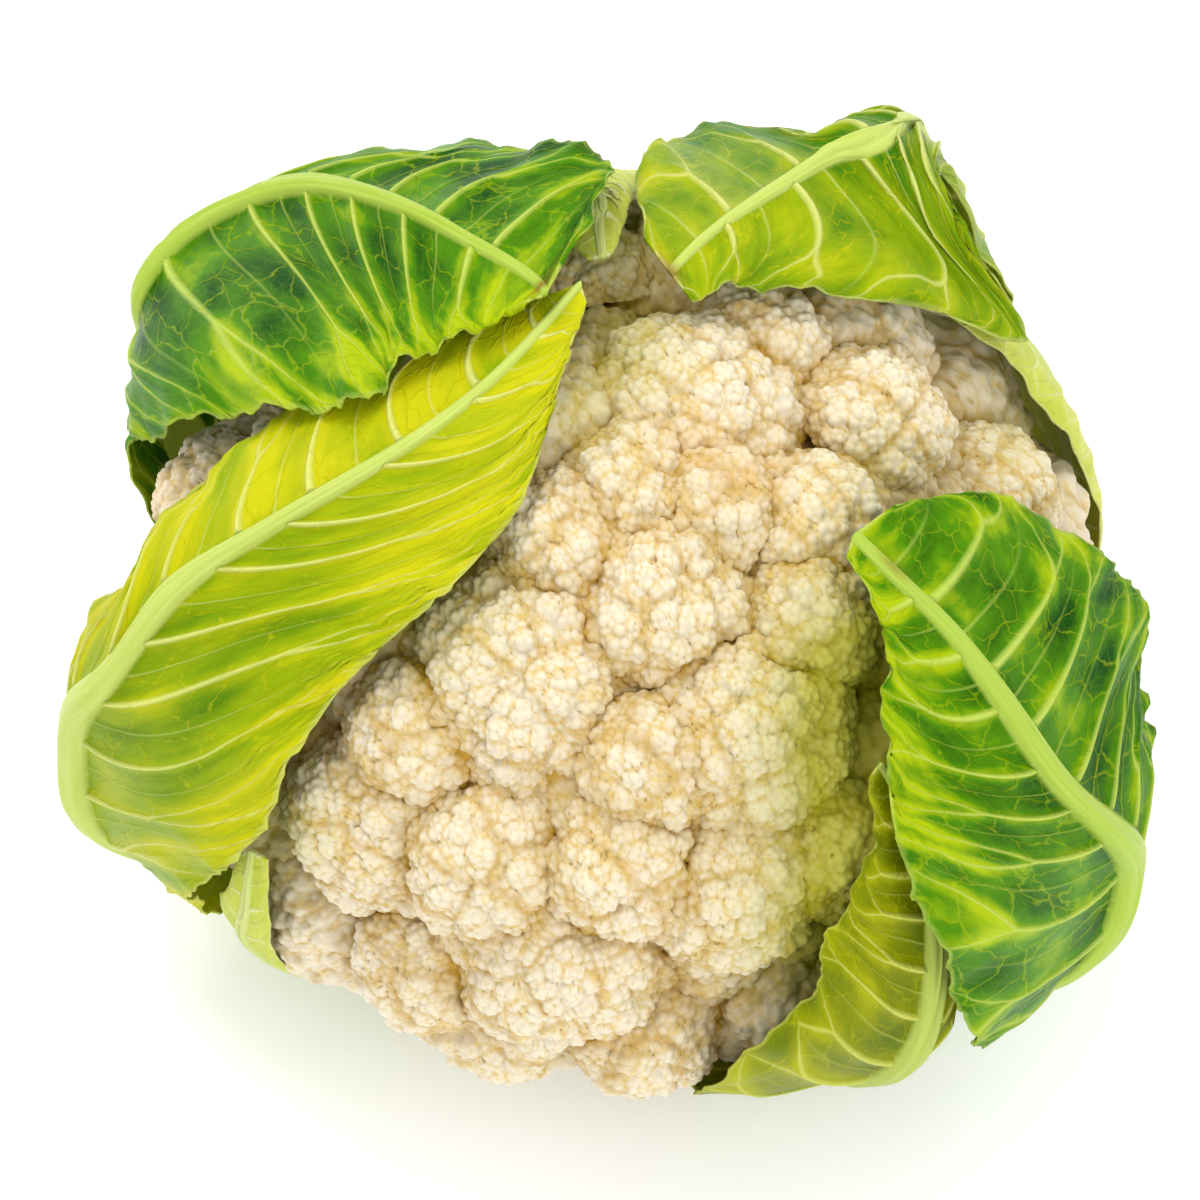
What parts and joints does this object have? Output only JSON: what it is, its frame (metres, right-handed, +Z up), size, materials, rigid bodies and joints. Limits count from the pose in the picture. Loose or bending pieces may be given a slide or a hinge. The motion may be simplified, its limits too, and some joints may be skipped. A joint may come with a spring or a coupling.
{
  "type": "cauliflower",
  "caption": "Whole cauliflower head of lobed cream florets on its cut stem, wrapped in green leaves, some folded over the head.",
  "frame": {"origin": "centre of the stem's cut face, on the surface that the head stands on", "axes": "+Z up along the stem, -Y towards the open face of the head, +X to the right as seen from that side"},
  "size_m": [0.2031, 0.1898, 0.1541],
  "materials": {
    "curd": "fresh cauliflower curd: cream, softly translucent, matt, with fine beads",
    "stem": "cut pale green stalk, moist and fibrous on the cut face",
    "leaf_yellow_green": "waxy yellow-green leaf with pale raised veins",
    "leaf_dark_green": "waxy dark green leaf with pale raised veins",
    "leaf_pale": "tender pale yellow-green inner leaf"
  },
  "bodies": {
    "root": {"curd": "curd", "stem": "stem", "leaf_left": "leaf_yellow_green", "leaf_back_left": "leaf_dark_green", "leaf_back_right": "leaf_yellow_green", "leaf_right": "leaf_dark_green", "leaf_front_right": "leaf_yellow_green", "leaf_right_inner": "leaf_pale", "leaf_front_left": "leaf_pale", "leaf_back": "leaf_pale"}
  },
  "joints": []
}
